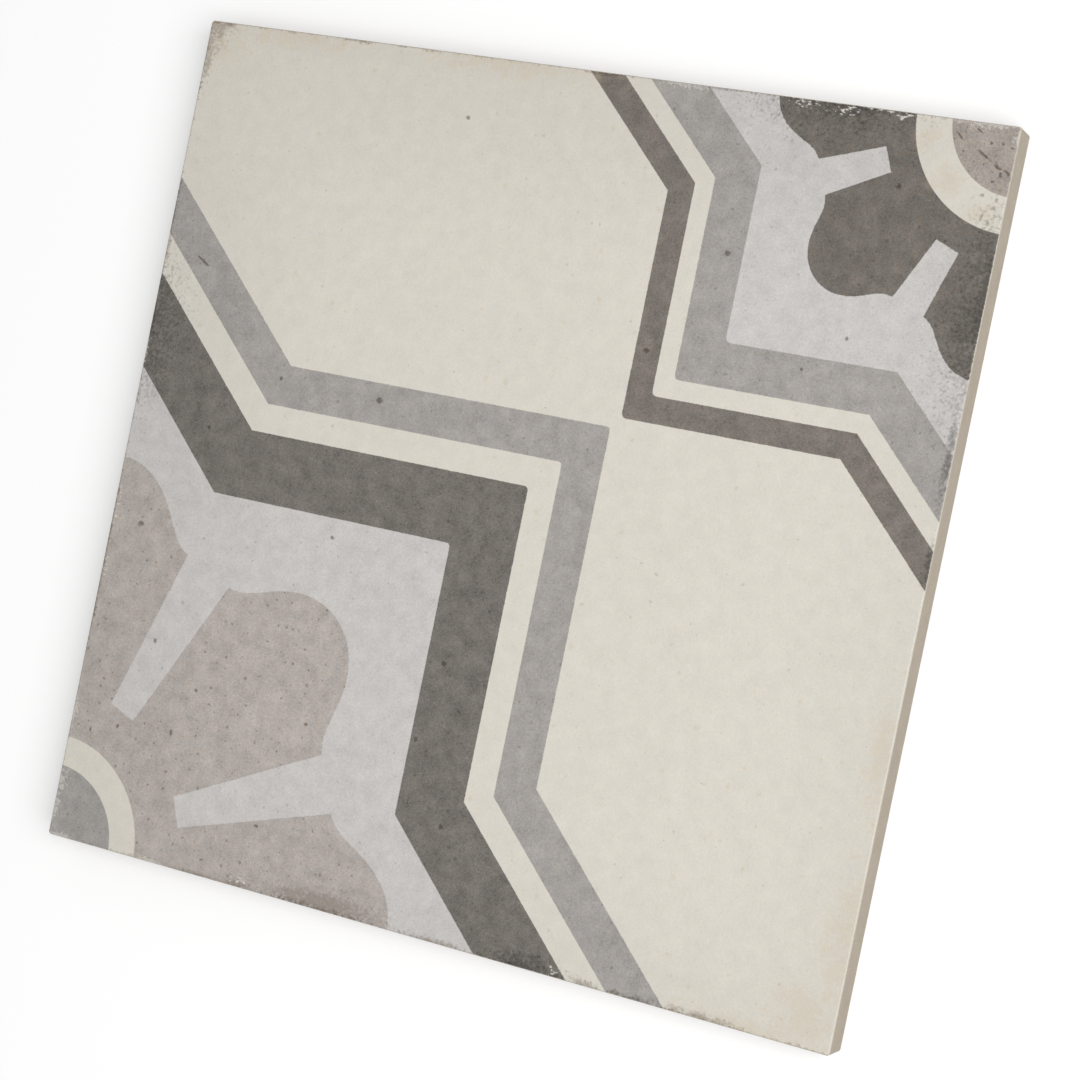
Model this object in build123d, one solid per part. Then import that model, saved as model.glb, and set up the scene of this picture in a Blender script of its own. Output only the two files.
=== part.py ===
from build123d import *
import os

# A pressed and fired square tile, lying on its back, in millimetres.
# X and Y run along the edges, Z points out of the glazed face, and the back rests on Z = 0.

# Pressed body
side_length = 200.0
thickness = 8.5
corner_radius = 0.8  # the four upright corners
face_edge_radius = 0.5  # rounded arris that the glaze runs over
back_bevel = 0.5  # chamfer that the press die leaves round the back

# Keying relief of the back: a grid of shallow cells between ribs that stand on the bed
cells_per_row = 8
rim_width = 12.0  # plain border between the sides and the outermost cells
rib_width = 3.0
cell_depth = 0.5
cell_corner_radius = 2.0
cell_wall_draft = 30.0  # degrees off upright, so that the die lifts out

# Width of one cell at its mouth, and the distance from one cell to the next
cell_field = side_length - 2 * rim_width
cell_width = (cell_field - (cells_per_row - 1) * rib_width) / cells_per_row
cell_pitch = cell_width + rib_width


def pressed_body():
    """The tile blank: a rounded square with a rounded face edge and a bevelled back."""
    outline = RectangleRounded(side_length, side_length, corner_radius)
    blank = extrude(outline, thickness)
    face_edges = blank.faces().sort_by(Axis.Z)[-1].edges()
    blank = fillet(face_edges, face_edge_radius)
    back_edges = blank.faces().sort_by(Axis.Z)[0].edges()
    return chamfer(back_edges, back_bevel)


def keying_cells():
    """The hollows of the back, each narrowing from its mouth to its floor."""
    mouth = RectangleRounded(cell_width, cell_width, cell_corner_radius)
    cell = extrude(mouth, cell_depth, taper=cell_wall_draft)
    grid = GridLocations(cell_pitch, cell_pitch, cells_per_row, cells_per_row)
    return [place * cell for place in grid]


tile = pressed_body() - keying_cells()

os.makedirs("parts", exist_ok=True)
export_step(tile, "parts/tile.step")
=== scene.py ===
import math
from dataclasses import dataclass

import bpy
from mathutils import Matrix, Vector


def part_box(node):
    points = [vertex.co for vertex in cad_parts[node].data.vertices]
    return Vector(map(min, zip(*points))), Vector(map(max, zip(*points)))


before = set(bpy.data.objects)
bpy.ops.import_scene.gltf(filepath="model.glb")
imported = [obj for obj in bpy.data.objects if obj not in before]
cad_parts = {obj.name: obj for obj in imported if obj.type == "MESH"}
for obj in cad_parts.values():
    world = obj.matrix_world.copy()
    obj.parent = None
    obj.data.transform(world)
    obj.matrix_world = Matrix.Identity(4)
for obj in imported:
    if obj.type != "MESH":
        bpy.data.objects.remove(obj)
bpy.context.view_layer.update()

# The tile lies face up. Print and wear are written in millimetres, as in the tile's drawing:
# x and y from the centre of the tile, z up from its back.
MM = 0.001
tile_low, tile_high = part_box("tile")
HALF_SIDE = (tile_high.x - tile_low.x) / 2 / MM
THICKNESS = (tile_high.z - tile_low.z) / MM

# Camera, in metres
CAMERA_PLACE = Vector((0.23636, 0.00407, 0.53816))
CAMERA_AIM = Vector((0.01117, -0.00589, 0.0085))
PICTURE_UP = Vector((-0.1913, 0.9795, 0.0629))
LENS_MM = 85.62
SENSOR_MM = 36.0
CAMERA_REACH = 100.0

# Light: an even pale surround and one large soft lamp on the right
SURROUND_STRENGTH = 0.48
LAMP_PLACE = Vector((0.85, -0.05, 0.95))
LAMP_AIM = Vector((0.0, 0.0, 0.0))
LAMP_UP = Vector((0.0, 1.0, 0.0))
LAMP_SIDE = 1.1
LAMP_WATTS = 13.2

# Floor
FLOOR_SIDE = 30.0
FLOOR_COLOUR = (0.80, 0.80, 0.80)
FLOOR_ROUGHNESS = 0.9
FLOOR_LIFT = 0.26  # what the camera sees on top of the lit floor, so that it comes out white


def srgb(red, green, blue):
    """A colour given as it looks on a screen, 0 to 255, in the linear values that shaders use."""

    def linear(level):
        share = level / 255
        return share / 12.92 if share <= 0.04045 else ((share + 0.055) / 1.055) ** 2.4

    return linear(red), linear(green), linear(blue)


@dataclass
class Pigment:
    """One colour of the print, and how mottled, pitted and unevenly warm it looks."""

    colour: tuple
    mottling: float
    pitting: float
    warmth: float


CREAM = Pigment(srgb(217, 212, 201), 0.015, 0.06, 0.015)
PALE_GREY = Pigment(srgb(201, 197, 194), 0.033, 0.16, 0.010)
MID_GREY = Pigment(srgb(162, 157, 153), 0.055, 0.25, 0.020)
DARK_OLIVE = Pigment(srgb(113, 108, 102), 0.095, 0.35, 0.021)
DARK_BROWN = Pigment(srgb(120, 113, 106), 0.080, 0.35, 0.030)
DARK_PETAL = Pigment(srgb(111, 105, 98), 0.088, 0.4, 0.033)
TAUPE = Pigment(srgb(178, 170, 164), 0.056, 0.5, 0.026)
DISC_GREY = Pigment(srgb(160, 156, 152), 0.056, 0.3, 0.008)
DISC_BROWN = Pigment(srgb(164, 155, 147), 0.070, 0.75, 0.032)


@dataclass
class Motif:
    """A rosette in a corner of the tile and the stepped frame round it, in millimetres.

    u and v run from the rosette's centre along the two edges of the tile that meet there.
    """

    corner: int  # -1 for the corner at low x and y, 1 for the one at high x and y
    beyond_x: float  # how far outside the tile the rosette's centre lies
    beyond_y: float
    square_edge: float  # outer edge of the frame's straight runs, from the centre
    slant_reach: float  # where the frame's slanted runs meet the edge of the tile
    outer_band: float
    gap: float
    inner_band: float
    corner_rounding: float  # how softly the frame turns its right-angled corner
    disc_radius: float
    ring_radius: float
    spoke_start: float  # distance of a spoke's inner end from the centre
    spoke_half_width: float
    spoke_spread: float  # half width gained for each millimetre outwards
    petal_head: float  # distance of the round petal head's centre, and its radius
    petal_head_radius: float
    petal_waist: float  # where the petals' common base ends
    waist_slant: float  # radians
    waist_blend: float  # how softly head and base flow into each other
    cusp_rounding: float
    pigments: dict


LARGE = Motif(
    corner=-1,
    beyond_x=0.37,
    beyond_y=0.83,
    square_edge=122.75,
    slant_reach=163.2,
    outer_band=9.75,
    gap=6.85,
    inner_band=16.2,
    corner_rounding=1.6,
    disc_radius=17.85,
    ring_radius=24.95,
    spoke_start=36.6,
    spoke_half_width=3.7,
    spoke_spread=0.078,
    petal_head=79.5,
    petal_head_radius=14.15,
    petal_waist=65.8,
    waist_slant=-0.138,
    waist_blend=40.0,
    cusp_rounding=0.1,
    pigments={"outer": MID_GREY, "inner": DARK_OLIVE, "petal": TAUPE, "disc": DISC_GREY},
)

SMALL = Motif(
    corner=1,
    beyond_x=1.1,
    beyond_y=1.07,
    square_edge=76.7,
    slant_reach=102.0,
    outer_band=6.05,
    gap=4.4,
    inner_band=10.0,
    corner_rounding=2.0,
    disc_radius=16.2,
    ring_radius=24.1,
    spoke_start=30.55,
    spoke_half_width=2.9,
    spoke_spread=0.076,
    petal_head=46.15,
    petal_head_radius=9.3,
    petal_waist=43.25,
    waist_slant=0.054,
    waist_blend=15.3,
    cusp_rounding=0.7,
    pigments={"outer": DARK_BROWN, "inner": MID_GREY, "petal": DARK_PETAL, "disc": DISC_BROWN},
)

# Spokes and petals repeat every eighth of a turn, mirrored at each half step
HALF_STEP = math.pi / 8

# Edges of the print
EDGE_SOFTNESS = 0.10
EDGE_WOBBLE = 0.025

# The colour is a little darker towards the edges of the tile, less so at high x and low y
DARKENING_START = 50.0
DARKENING_AT_EDGE = 0.92
WEAKER_DARKENING = 0.85  # share of the way to those two edges that counts
DARKENING_BLEND = 30.0  # how softly it turns the tile's corners

# Noise in the print and glaze: the width of its blotches in millimetres, its detail and roughness
GRAIN = (0.27, 0.0, 0.5)
FLECKS = (0.75, 2.0, 0.6)
CLOUDS = (3.8, 3.0, 0.6)
TINTS = (1.2, 3.0, 0.7)
CHIPS = (0.6, 2.0, 0.6)
CHIP_STRETCH = (0.5, 1.0, 1.0)  # chips are twice as long in x as in y
NOISE_MEAN = 0.5
NOISE_SPREAD = 0.12  # about the noise's standard deviation

# Mottling: grain, pale speckles and dark ones in the flecks, and clouds
SPECKLE_PALE = (0.40, 0.24)  # where in the flecks the pale ones start and are full
SPECKLE_DARK = (0.60, 0.80)
DARK_WEIGHT = 2.0
SPECKLE_WEIGHT = 2.2
CLOUD_WEIGHT = 1.3

# Marks on the glaze, each an oval: its centre x and y, and its half width along x and along y
SPOTS = [
    (-91.6, -21.9, 1.0, 0.8),
    (-35.3, 17.9, 0.95, 0.85),
    (-5.9, -37.9, 0.85, 0.8),
    (-72.1, -68.8, 0.5, 0.95),
    (41.3, 64.1, 0.75, 0.8),
    (1.4, -74.0, 0.8, 0.65),
    (27.1, 40.1, 0.9, 0.75),
    (-27.4, 85.5, 0.7, 0.7),
    (-94.0, -72.9, 0.4, 0.8),
    (-81.4, -48.4, 0.55, 0.75),
    (-78.4, 4.0, 0.6, 0.6),
    (-9.0, -56.1, 0.6, 0.7),
    (76.3, 84.0, 0.6, 0.8),
    (-44.7, -84.9, 0.8, 0.45),
    (-40.3, -15.4, 0.6, 0.6),
    (-86.8, -70.5, 0.55, 0.55),
    (-67.6, -57.6, 0.65, 0.45),
    (71.8, 50.0, 0.45, 0.55),
    (63.2, 41.9, 0.5, 0.45),
    (-37.3, -59.0, 0.55, 0.45),
    (-61.9, 18.6, 0.5, 0.6),
]
SOOT = [
    (61.5, 100, 18, 4.4),
    (100, 61, 4.2, 17),
    (27, -100, 13, 4.5),
    (-100, 26, 2.6, 13),
    (4, 100, 6, 1.2),
    (55, -100, 8, 1.8),
    (-100, 54, 1.2, 10),
    (-24, -100, 22, 1.8),
    (30, 100, 12, 1.0),
    (99.0, 29.5, 1.4, 15),
    (99.4, 6, 1.2, 6),
    (108, 58, 19, 36),
    (-108, 24, 19, 26),
    (58, 108, 26, 18),
]
DIRT = [
    (-100, 100, 8.5, 7.5),
    (-100, 91, 2.6, 9),
    (-60, 100, 9, 1.0),
    (-48, 100, 2.0, 0.8),
    (-58, -100, 11, 1.3),
    (-47, -99.5, 5, 1.8),
    (-24, -98, 18, 3.4),
    (4.5, -100, 10, 1.6),
    (42.5, -100, 5, 1.9),
    (50, -99.4, 1.3, 0.9),
    (70, -100, 12, 2.0),
    (-100, -35, 1.0, 30),
    (-100, 43, 1.6, 4.8),
    (97.8, 84.0, 0.5, 0.6),
    (97.4, 82.2, 0.9, 0.8),
    (96.8, 79.2, 0.6, 1.2),
    (95.3, 80.0, 0.5, 1.0),
    (96.2, 77.8, 0.8, 0.4),
    (94.6, 84.6, 0.6, 0.4),
]
STAINS = [
    (93, -93, 12, 10),
    (98, -75, 6, 26),
    (98, -35, 4.5, 16),
    (80, -100, 22, 5),
    (-75, 99, 26, 5),
    (-96, 96, 10, 10),
    (-18, 99.5, 34, 5),
    (80.5, 95, 3.2, 6),
    (95, 80.5, 6, 3.2),
    (86.5, 86.5, 4.5, 4.5),
]
# Places along the edges where the print is rubbed off, and places where it has chipped off
BARE = [
    (-100, -93, 2.0, 6),
    (-100, -86.5, 2.8, 3.5),
    (-97, -100, 4.5, 1.4),
    (-99.6, -69.5, 1.2, 4.5),
    (-100, 19.5, 1.0, 4),
    (-71, -100, 4, 1.5),
    (93, 100, 9, 1.6),
    (24, 100, 8, 1.5),
    (100, 98, 1.4, 3),
]
CHIPPED = [
    (52, 99.1, 6.5, 1.6),
    (61.5, 98.6, 5.0, 1.6),
    (74.5, 98.9, 3.2, 1.5),
    (70, 99.7, 9.0, 0.5),
    (35, -98.3, 1.8, 1.4),
    (-46.5, -98.4, 3.5, 1.2),
    (-98.9, -18.5, 0.8, 8),
    (-98.9, -34, 0.7, 3),
]
# Scratches run slantwise: middle x and y, half length, half width, turn in degrees
SCRATCHES = [
    (93.1, 93.1, 2.5, 0.33, 148),
    (96.6, 90.8, 1.2, 0.42, 150),
    (98.9, 90.0, 1.0, 0.38, 147),
    (97.5, 89.3, 0.7, 0.4, 105),
    (87.3, 96.4, 1.4, 0.32, 137),
    (91.2, 98.1, 1.3, 0.22, 147),
    (98.9, 95.2, 0.6, 0.25, 170),
    (-88.9, 42.6, 2.4, 0.35, 151),
]

# Pits in the glaze and brown specks on the cream: one in each cell of a loose grid, most small.
# A tint is what is left of each part of the colour.
PIT_SPACING = 2.0
PIT_RADIUS = 0.52
PIT_TINT = (0.46, 0.42, 0.39)  # for spots and scratches too
PIT_DEPTH = 0.25  # how strong a pit is on an unpitted pigment
SPECK_SPACING = 5.5
SPECK_RADIUS = 0.95
SPECK_SHARE = 0.6
SPECK_TINT = (0.95, 0.91, 0.85)
CREAM_PITTING = (0.12, 0.08)  # only the cream is less pitted than this
MARK_CORE = 0.2  # share of a pit's or speck's radius that is full
CHANCE_SOFTNESS = 0.01
SPOT_RIM = (1.1, 0.5)  # where a spot starts and is full, 1 being its rim
SPOT_RAGGEDNESS = 1.2
PIT_RAGGEDNESS = 1.5

# Wear. Raggedness is how far the flecks push a mark's rim in and out, and cloudiness how far
# the clouds do. A rim says where a mark starts and where it is full.
STAIN_COLOUR = srgb(190, 172, 140)
STAIN_COVER = 0.27
STAIN_CLOUDINESS = 2.5
SOOT_SHADE = 0.5
SOOT_RAGGEDNESS = 2.0
DIRT_COLOUR = srgb(122, 111, 99)
DIRT_COVER = 0.58
DIRT_RAGGEDNESS = 1.5
DIRT_CLOUDINESS = 1.2
DIRT_RIM = (1.0, 0.3)
DIRT_GRAIN = (0.0, 0.5)  # the grain shows through the dirt
EDGE_LINE_TINT = (0.74, 0.70, 0.65)  # for the thin dark line along most edges
EDGE_LINE_RAGGEDNESS = 3.0
EDGE_LINE_CLOUDINESS = 2.0
EDGE_LINE_RIM = (0.45, -0.1)  # from the edge, in millimetres
BARE_COLOUR = srgb(214, 209, 201)
BARE_COVER = 0.85
RUBBED_COVER = 0.65  # of that, on rubbed places
RUBBED_FALL = 0.3
RUBBED_RIM = (0.22, 0.42)
CHIP_FALL = 0.2
CHIP_RIM = (0.45, 0.56)

# Glaze and biscuit
GLAZE_DEPTH = 0.28  # how far the glaze runs down over the rounded arris
GLAZE_SOFTNESS = 0.08
GLAZE_UNEVENNESS = 0.05
PRINT_DEPTH = 0.10  # how far the print does
PRINT_SOFTNESS = 0.06
PRINT_UNEVENNESS = 0.03
BISCUIT = srgb(165, 155, 141)
BISCUIT_GRAIN = 0.025
BISCUIT_CLOUDS = 0.03
BACK_WASH = srgb(200, 194, 182)  # kiln wash that stays on the ribs of the back
WASH_HEIGHT = (0.3, 0.02)
WASH_CLOUDS = (0.35, 0.6)
# glaze on the rounded arris below the print, lighter than the biscuit: partly the glaze's own
# colour, partly a painted highlight of the arris catching the light
ARRIS_GLAZE_AND_HIGHLIGHT = srgb(186, 179, 168)
BISCUIT_ROUGHNESS = 0.85
GLAZE_ROUGHNESS = 0.5
ROUGHNESS_SPREAD = 0.2
SPECULAR_LEVEL = 0.35
BUMP_STRENGTH = 0.35
BUMP_DISTANCE = 0.02  # millimetres
BUMP_HEIGHT = 8.0


class Field:
    """A number or colour that varies over the surface: one output of a shader node."""

    nodes = None  # where new nodes and links go
    links = None

    def __init__(self, socket):
        self.socket = socket

    def __add__(self, other):
        return maths("ADD", self, other)

    def __radd__(self, other):
        return maths("ADD", other, self)

    def __sub__(self, other):
        return maths("SUBTRACT", self, other)

    def __rsub__(self, other):
        return maths("SUBTRACT", other, self)

    def __mul__(self, other):
        return maths("MULTIPLY", self, other)

    def __rmul__(self, other):
        return maths("MULTIPLY", other, self)

    def __truediv__(self, other):
        return maths("DIVIDE", self, other)

    def __neg__(self):
        return maths("MULTIPLY", self, -1.0)

    def __abs__(self):
        return maths("ABSOLUTE", self)


def feed(socket, value):
    """Connects a field, or writes a constant, to an input of a node."""
    if isinstance(value, Field):
        Field.links.new(value.socket, socket)
    else:
        socket.default_value = value


def maths(operation, *values):
    node = Field.nodes.new("ShaderNodeMath")
    node.operation = operation
    for socket, value in zip(node.inputs, values):
        feed(socket, value)
    return Field(node.outputs[0])


def smallest(a, b, blend=0.0):
    return maths("SMOOTH_MIN", a, b, blend) if blend else maths("MINIMUM", a, b)


def largest(a, b, blend=0.0):
    return maths("SMOOTH_MAX", a, b, blend) if blend else maths("MAXIMUM", a, b)


def length(a, b):
    return maths("SQRT", a * a + b * b)


def ramp(value, start, end, low=0.0, high=1.0):
    """Goes smoothly from low to high while the value goes from start to end, and stays there."""
    node = Field.nodes.new("ShaderNodeMapRange")
    node.interpolation_type = "SMOOTHSTEP"
    for socket, given in zip(node.inputs, (value, start, end, low, high)):
        feed(socket, given)
    return Field(node.outputs[0])


def noise(point, size, detail, roughness):
    """Even noise from 0 to 1 whose blotches are about as wide as size, in millimetres."""
    node = Field.nodes.new("ShaderNodeTexNoise")
    feed(node.inputs["Vector"], point)
    node.inputs["Scale"].default_value = 1 / size
    node.inputs["Detail"].default_value = detail
    node.inputs["Roughness"].default_value = roughness
    return Field(node.outputs[0])


def centred(texture):
    """Noise about zero, with a standard deviation of about one."""
    return (texture - NOISE_MEAN) / NOISE_SPREAD


def vector_maths(operation, *values):
    node = Field.nodes.new("ShaderNodeVectorMath")
    node.operation = operation
    for socket, value in zip(node.inputs, values):
        feed(socket, value)
    return node


def shade(colour, factor):
    """A colour made lighter or darker."""
    node = vector_maths("SCALE", colour)
    feed(node.inputs["Scale"], factor)
    return Field(node.outputs["Vector"])


def stretch(point, scale):
    """The point with each coordinate multiplied, so that noise comes out drawn out."""
    return Field(vector_maths("MULTIPLY", point, scale).outputs["Vector"])


def coordinates(vector):
    parts = Field.nodes.new("ShaderNodeSeparateXYZ")
    feed(parts.inputs[0], vector)
    return [Field(output) for output in parts.outputs]


def by_identifier(sockets, identifier):
    return next(socket for socket in sockets if socket.identifier == identifier)


def paint(under, over, amount):
    """Between two colours, or any two vectors."""
    node = Field.nodes.new("ShaderNodeMix")
    node.data_type = "VECTOR"
    for identifier, value in (("Factor_Float", amount), ("A_Vector", under), ("B_Vector", over)):
        feed(by_identifier(node.inputs, identifier), value)
    return Field(by_identifier(node.outputs, "Result_Vector"))


def warm(colour, amount):
    """A colour made redder and less blue, or the other way round below zero."""
    balance = Field.nodes.new("ShaderNodeCombineXYZ")
    for socket, factor in zip(balance.inputs, (1.0 + amount, 1.0, 1.0 - amount)):
        feed(socket, factor)
    return Field(vector_maths("MULTIPLY", colour, Field(balance.outputs[0])).outputs["Vector"])


def mix(under, over, amount):
    """Between two numbers."""
    return under + (over - under) * amount


def frame_depth(motif, u, v):
    """How far inside the frame's outer edge a point lies."""
    slant = (motif.slant_reach - u - v) / math.sqrt(2)
    below = largest(motif.square_edge - v, slant)
    beside = largest(motif.square_edge - u, slant)
    return smallest(below, beside, motif.corner_rounding)


def petal_outline(motif, u, v, radius):
    """Distance to the petals' outline, below zero inside them."""
    fold = maths("PINGPONG", maths("ARCTAN2", v, u), HALF_STEP)
    along = radius * maths("COSINE", fold)
    across = radius * maths("SINE", fold)
    head = length(along - motif.petal_head, across) - motif.petal_head_radius
    slanted = along * math.cos(motif.waist_slant) + across * math.sin(motif.waist_slant)
    flower = smallest(head, slanted - motif.petal_waist, motif.waist_blend)
    from_spoke = HALF_STEP - fold
    outwards = radius * maths("COSINE", from_spoke) - motif.spoke_start
    sideways = radius * maths("SINE", from_spoke) - motif.spoke_half_width
    spoke = largest(-outwards, sideways - motif.spoke_spread * outwards)
    return largest(flower, -spoke, motif.cusp_rounding)


def motif_layers(motif, x, y, wobble):
    """The motif's printed shapes from the ground up, as pairs of a pigment and where it lies."""
    u = HALF_SIDE + motif.beyond_x - x * motif.corner
    v = HALF_SIDE + motif.beyond_y - y * motif.corner
    radius = length(u, v)
    depth = frame_depth(motif, u, v) + wobble
    gap_start = motif.outer_band
    inner_start = gap_start + motif.gap
    field_start = inner_start + motif.inner_band
    shapes = (
        (motif.pigments["outer"], depth),
        (CREAM, depth - gap_start),
        (motif.pigments["inner"], depth - inner_start),
        (PALE_GREY, depth - field_start),
        (motif.pigments["petal"], wobble - petal_outline(motif, u, v, radius)),
        (CREAM, motif.ring_radius - radius),
        (motif.pigments["disc"], motif.disc_radius - radius),
    )
    return [(pigment, ramp(inside, -EDGE_SOFTNESS, EDGE_SOFTNESS)) for pigment, inside in shapes]


def traits(pigment):
    return pigment.mottling, pigment.pitting, pigment.warmth


def print_on(x, y, wobble):
    """Colour of the whole print, and its mottling, pitting and warmth."""
    colour, trait = CREAM.colour, traits(CREAM)
    for motif in (LARGE, SMALL):
        for pigment, where in motif_layers(motif, x, y, wobble):
            colour = paint(colour, pigment.colour, where)
            trait = paint(trait, traits(pigment), where)
    return colour, *coordinates(trait)


def nearest_mark(point, marks):
    """How far out a point lies in the nearest oval mark: 0 in its middle, 1 on its rim."""
    nearest = None
    for x, y, half_x, half_y in marks:
        scale = (1 / half_x, 1 / half_y, 0.0)
        offset = (-x / half_x, -y / half_y, 0.0)
        scaled = Field(vector_maths("MULTIPLY_ADD", point, scale, offset).outputs["Vector"])
        away = Field(vector_maths("LENGTH", scaled).outputs["Value"])
        nearest = away if nearest is None else smallest(nearest, away)
    return nearest


def nearest_scratch(point, scratches):
    """The same for slanted marks."""
    nearest = None
    for x, y, half_length, half_width, turn in scratches:
        cosine, sine = math.cos(math.radians(turn)), math.sin(math.radians(turn))
        offset = Field(vector_maths("SUBTRACT", point, (x, y, THICKNESS)).outputs["Vector"])
        lengthwise = (cosine / half_length, sine / half_length, 0.0)
        crosswise = (-sine / half_width, cosine / half_width, 0.0)
        along = Field(vector_maths("DOT_PRODUCT", offset, lengthwise).outputs["Value"])
        across = Field(vector_maths("DOT_PRODUCT", offset, crosswise).outputs["Value"])
        away = length(along, across)
        nearest = away if nearest is None else smallest(nearest, away)
    return nearest


def tinted(colour, tint, amount):
    """A colour of which a tint leaves only a part."""
    return paint(colour, Field(vector_maths("MULTIPLY", colour, tint).outputs["Vector"]), amount)


def wear(colour, point, inwards, grain, flecks, clouds):
    """Stains, soot, dirt, a thin dark line at the rim of the face, rubbed places and chips, most
    of them along the tile's edges.
    """
    ragged = flecks - NOISE_MEAN
    cloudy = clouds - NOISE_MEAN
    stain = ramp(nearest_mark(point, STAINS) - cloudy * STAIN_CLOUDINESS - ragged, 1.0, 0.0)
    colour = paint(colour, STAIN_COLOUR, stain * STAIN_COVER)
    soot = ramp(nearest_mark(point, SOOT) - ragged * SOOT_RAGGEDNESS, 1.0, 0.0)
    colour = shade(colour, mix(1.0, SOOT_SHADE, soot))
    uneven = ragged * DIRT_RAGGEDNESS + cloudy * DIRT_CLOUDINESS
    dirt = ramp(nearest_mark(point, DIRT) - uneven, *DIRT_RIM) * ramp(grain, *DIRT_GRAIN)
    colour = paint(colour, DIRT_COLOUR, dirt * DIRT_COVER)
    # a thin dark line along the face's edges at low x, low y and high y, but not at high x
    edge_line = ramp(inwards - ragged * EDGE_LINE_RAGGEDNESS - cloudy * EDGE_LINE_CLOUDINESS, *EDGE_LINE_RIM)
    colour = tinted(colour, EDGE_LINE_TINT, edge_line)
    rubbed = ramp(flecks - nearest_mark(point, BARE) * RUBBED_FALL, *RUBBED_RIM)
    chips = noise(stretch(point, CHIP_STRETCH), *CHIPS)
    chipped = ramp(chips - nearest_mark(point, CHIPPED) * CHIP_FALL, *CHIP_RIM)
    return paint(colour, BARE_COLOUR, largest(rubbed * RUBBED_COVER, chipped) * BARE_COVER)


def scattered(point, spacing, largest_radius, share, edge):
    """Small round marks on a share of the cells of a loose grid."""
    cells = Field.nodes.new("ShaderNodeTexVoronoi")
    cells.voronoi_dimensions = "2D"
    cells.inputs["Scale"].default_value = 1 / spacing
    feed(cells.inputs["Vector"], point)
    away = Field(cells.outputs["Distance"]) * spacing + edge
    chance, size, _ = coordinates(Field(cells.outputs["Color"]))
    chosen = ramp(share - chance, -CHANCE_SOFTNESS, CHANCE_SOFTNESS)
    radius = size * size * size * largest_radius * chosen
    return ramp(away, radius, radius * MARK_CORE)


def run_down(height, depth, softness):
    """1 on the face and down to a depth below it, 0 further down."""
    edge = THICKNESS - depth
    return ramp(height, edge - softness, edge + softness)


def tile_material():
    material = bpy.data.materials.new("printed_porcelain")
    material.use_nodes = True
    Field.nodes, Field.links = material.node_tree.nodes, material.node_tree.links
    shader = Field.nodes["Principled BSDF"]
    place = Field.nodes.new("ShaderNodeTexCoord")
    point = shade(Field(place.outputs["Object"]), 1 / MM)
    x, y, z = coordinates(point)

    grain = noise(point, *GRAIN)
    flecks = noise(point, *FLECKS)
    clouds = noise(point, *CLOUDS)
    tints = noise(point, *TINTS)
    ragged = flecks - NOISE_MEAN
    inwards = HALF_SIDE - largest(-x, abs(y))

    # Print, mottled, and a little darker towards the edges of the tile
    colour, mottling, pitting, warmth = print_on(x, y, centred(flecks) * EDGE_WOBBLE)
    speckle = ramp(flecks, *SPECKLE_PALE) - ramp(flecks, *SPECKLE_DARK) * DARK_WEIGHT
    blotches = centred(grain) + speckle * SPECKLE_WEIGHT + centred(clouds) * CLOUD_WEIGHT
    colour = shade(colour, 1.0 + mottling * blotches)
    colour = warm(colour, warmth * centred(tints))
    sideways = largest(-x, x * WEAKER_DARKENING)
    lengthways = largest(y, -y * WEAKER_DARKENING)
    edgewards = largest(sideways, lengthways, DARKENING_BLEND)
    colour = shade(colour, ramp(edgewards, DARKENING_START, HALF_SIDE, 1.0, DARKENING_AT_EDGE))

    # Specks, pits, spots, scratches and wear
    nearest = smallest(nearest_mark(point, SPOTS), nearest_scratch(point, SCRATCHES))
    spots = ramp(nearest - ragged * SPOT_RAGGEDNESS, *SPOT_RIM)
    uneven = ragged * PIT_RAGGEDNESS
    pits = scattered(point, PIT_SPACING, PIT_RADIUS, pitting, uneven) * (PIT_DEPTH + pitting)
    on_cream = ramp(pitting, *CREAM_PITTING, 0.0, SPECK_SHARE)
    specks = scattered(point, SPECK_SPACING, SPECK_RADIUS, on_cream, uneven)
    colour = tinted(colour, SPECK_TINT, specks)
    colour = tinted(colour, PIT_TINT, largest(pits, spots))
    colour = wear(colour, point, inwards, grain, flecks, clouds)

    # Glaze on top, biscuit below it
    glazed = run_down(z - centred(clouds) * GLAZE_UNEVENNESS, GLAZE_DEPTH, GLAZE_SOFTNESS)
    printed = run_down(z + centred(flecks) * PRINT_UNEVENNESS, PRINT_DEPTH, PRINT_SOFTNESS)
    unevenness = centred(grain) * BISCUIT_GRAIN + centred(clouds) * BISCUIT_CLOUDS
    biscuit = shade(BISCUIT, 1.0 + unevenness)
    wash = ramp(z, *WASH_HEIGHT) * ramp(clouds, *WASH_CLOUDS)
    biscuit = paint(biscuit, BACK_WASH, wash)
    # the glazed band on the arris gets the lighter arris colour, which is partly a painted
    # highlight
    colour = paint(paint(biscuit, ARRIS_GLAZE_AND_HIGHLIGHT, glazed), colour, printed)

    feed(shader.inputs["Base Color"], colour)
    glaze_roughness = GLAZE_ROUGHNESS + flecks * ROUGHNESS_SPREAD
    feed(shader.inputs["Roughness"], mix(BISCUIT_ROUGHNESS, glaze_roughness, glazed))
    shader.inputs["Specular IOR Level"].default_value = SPECULAR_LEVEL
    bump = Field.nodes.new("ShaderNodeBump")
    bump.inputs["Strength"].default_value = BUMP_STRENGTH
    bump.inputs["Distance"].default_value = BUMP_DISTANCE * MM
    feed(bump.inputs["Height"], flecks * BUMP_HEIGHT)
    Field.links.new(bump.outputs[0], shader.inputs["Normal"])
    return material


def look_from(place, aim, picture_up):
    """The place and turn of a camera or lamp that looks at a point."""
    backward = (place - aim).normalized()
    right = picture_up.cross(backward).normalized()
    up = backward.cross(right)
    turn = Matrix((right, up, backward)).transposed().to_4x4()
    return Matrix.Translation(place) @ turn


def add_camera():
    camera = bpy.data.cameras.new("camera")
    camera.sensor_width = SENSOR_MM
    camera.lens = LENS_MM
    camera.clip_end = CAMERA_REACH
    holder = bpy.data.objects.new("camera", camera)
    bpy.context.scene.collection.objects.link(holder)
    holder.matrix_world = look_from(CAMERA_PLACE, CAMERA_AIM, PICTURE_UP)
    bpy.context.scene.camera = holder


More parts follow.
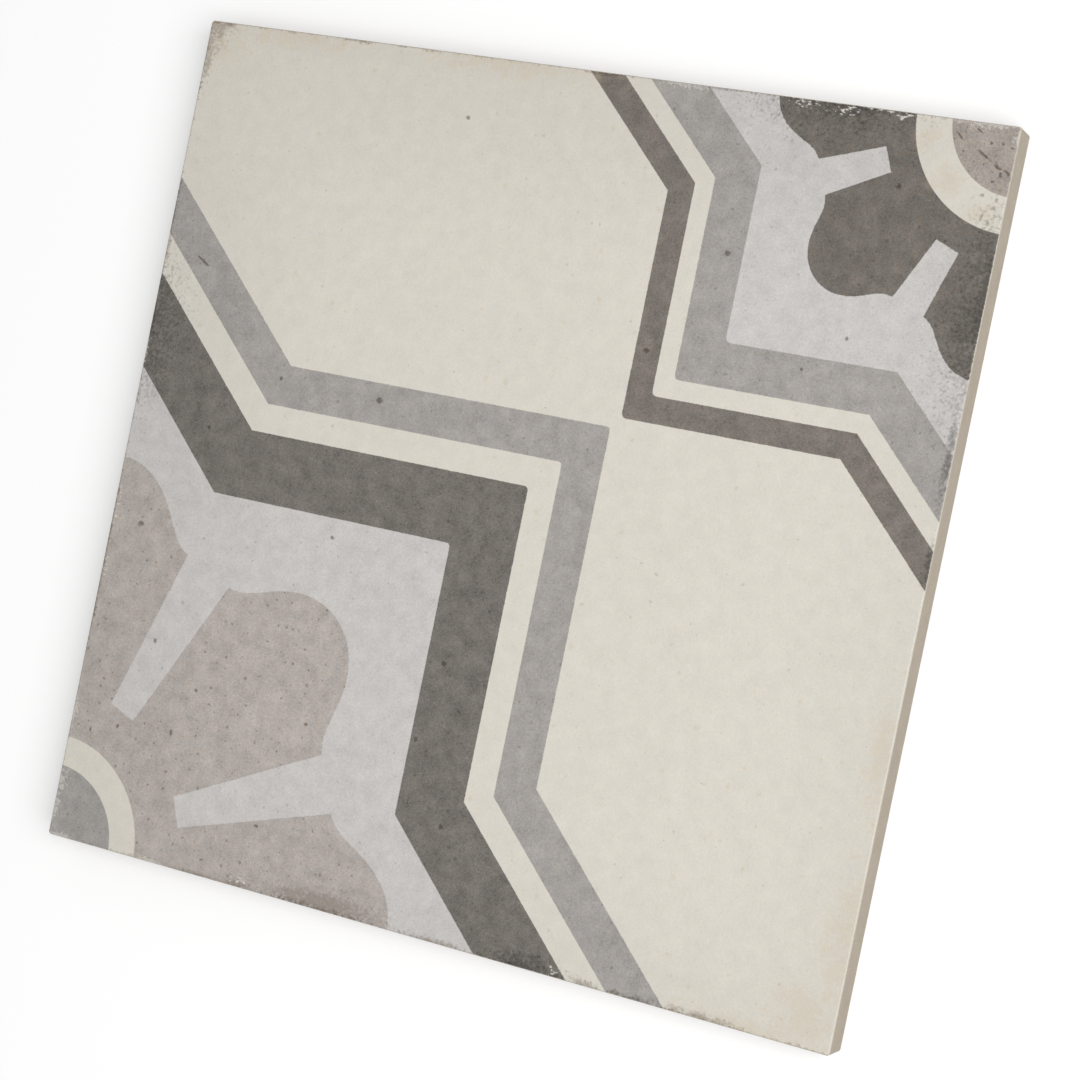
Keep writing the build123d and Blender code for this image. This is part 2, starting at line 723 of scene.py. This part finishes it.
def seen_directly(nodes, links):
    """1 for what the camera sees itself or in a reflection or through glass, and 0 for light."""
    rays = nodes.new("ShaderNodeLightPath")
    total = rays.outputs["Is Camera Ray"]
    for name in ("Is Glossy Ray", "Is Transmission Ray"):
        either = nodes.new("ShaderNodeMath")
        either.operation = "MAXIMUM"
        links.new(total, either.inputs[0])
        links.new(rays.outputs[name], either.inputs[1])
        total = either.outputs[0]
    return total


def add_light():
    world = bpy.data.worlds.new("surround")
    bpy.context.scene.world = world
    world.use_nodes = True
    nodes, links = world.node_tree.nodes, world.node_tree.links
    strength = nodes.new("ShaderNodeMix")
    links.new(seen_directly(nodes, links), by_identifier(strength.inputs, "Factor_Float"))
    by_identifier(strength.inputs, "A_Float").default_value = SURROUND_STRENGTH
    by_identifier(strength.inputs, "B_Float").default_value = 1.0
    background = nodes["Background"]
    background.inputs["Color"].default_value = (1.0, 1.0, 1.0, 1.0)
    links.new(by_identifier(strength.outputs, "Result_Float"), background.inputs["Strength"])

    lamp = bpy.data.lights.new("soft_lamp", "AREA")
    lamp.shape = "SQUARE"
    lamp.size = LAMP_SIDE
    lamp.energy = LAMP_WATTS
    holder = bpy.data.objects.new("soft_lamp", lamp)
    bpy.context.scene.collection.objects.link(holder)
    holder.matrix_world = look_from(LAMP_PLACE, LAMP_AIM, LAMP_UP)


def floor_material():
    material = bpy.data.materials.new("pale_floor")
    material.use_nodes = True
    nodes, links = material.node_tree.nodes, material.node_tree.links
    shader = nodes["Principled BSDF"]
    shader.inputs["Base Color"].default_value = (*FLOOR_COLOUR, 1.0)
    shader.inputs["Roughness"].default_value = FLOOR_ROUGHNESS
    shader.inputs["Specular IOR Level"].default_value = 0.0
    shader.inputs["Emission Color"].default_value = (1.0, 1.0, 1.0, 1.0)
    lift = nodes.new("ShaderNodeMath")
    lift.operation = "MULTIPLY"
    links.new(seen_directly(nodes, links), lift.inputs[0])
    lift.inputs[1].default_value = FLOOR_LIFT
    links.new(lift.outputs[0], shader.inputs["Emission Strength"])
    return material


def add_floor():
    half = FLOOR_SIDE / 2
    mesh = bpy.data.meshes.new("floor")
    corners = [(-half, -half, 0.0), (half, -half, 0.0), (half, half, 0.0), (-half, half, 0.0)]
    mesh.from_pydata(corners, [], [(0, 1, 2, 3)])
    mesh.materials.append(floor_material())
    floor = bpy.data.objects.new("floor", mesh)
    bpy.context.scene.collection.objects.link(floor)
    floor.location.z = tile_low.z


def dress_tile():
    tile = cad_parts["tile"]
    material = tile_material()
    for slot in tile.material_slots:
        slot.material = material


bpy.context.scene.view_settings.view_transform = "Standard"
add_camera()
add_light()
add_floor()
dress_tile()
